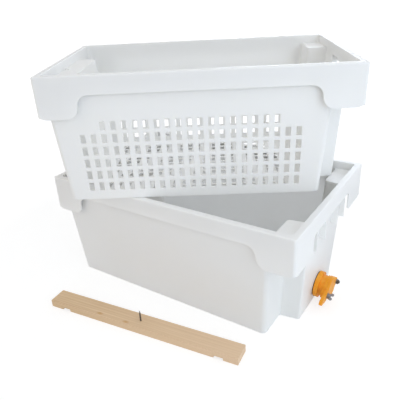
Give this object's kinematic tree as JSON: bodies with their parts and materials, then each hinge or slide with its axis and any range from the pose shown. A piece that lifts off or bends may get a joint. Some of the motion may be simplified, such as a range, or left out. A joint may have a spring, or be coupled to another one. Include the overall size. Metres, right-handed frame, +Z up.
{
  "type": "uncapping tank",
  "caption": "Moulded tank crate with a honey gate, a perforated strainer crate set askew on its rim, and a notched frame rest bar with a spike.",
  "frame": {"origin": "middle of the tank's base, on the floor", "axes": "+X along the tank to the gate end, +Y to the back, +Z up"},
  "size_m": [0.7612, 0.7163, 0.552],
  "materials": {
    "crate_plastic": "waxy natural polyethylene, slightly cloudy",
    "gate_nylon": "satin orange nylon",
    "gasket_rubber": "matte",
    "bright_steel": "bright zinc plate",
    "dark_steel": "dull",
    "pine": "planed, bare"
  },
  "bodies": {
    "tank_and_gate": {"tank": "crate_plastic", "gate_body": "gate_nylon", "gate_outer_gasket": "gasket_rubber", "gate_inner_gasket": "gasket_rubber", "gate_back_nut": "gate_nylon", "pivot_bolt": "dark_steel", "pivot_washer": "bright_steel", "pivot_nut": "dark_steel", "clamp_bolt": "bright_steel", "clamp_washer": "bright_steel"},
    "strainer": {"strainer_crate": "crate_plastic"},
    "paddle": {"gate_paddle": "gate_nylon"},
    "wing_nut": {"clamp_wing_nut": "bright_steel"},
    "rest_bar": {"frame_rest_bar": "pine", "bar_spike": "dark_steel"}
  },
  "joints": [
    {"name": "strainer_lift", "type": "slide", "parent": "tank_and_gate", "child": "strainer", "axis": [0, 0, 1], "range_m": [0, 0.3]},
    {"name": "paddle_swing", "type": "hinge", "parent": "tank_and_gate", "child": "paddle", "pos_m": [0.33089, 0.031, 0.03883], "axis": [-0.9979, 0, 0.0649], "range_deg": [0, 110]},
    {"name": "wing_nut_turn", "type": "hinge", "parent": "tank_and_gate", "child": "wing_nut", "pos_m": [0.33807, -0.031, 0.03836], "axis": [0.9979, 0, -0.0649], "range_deg": [0, 360]},
    {"name": "bar_lift", "type": "slide", "parent": "tank_and_gate", "child": "rest_bar", "axis": [0, 0, 1], "range_m": [0, 0.2]}
  ]
}
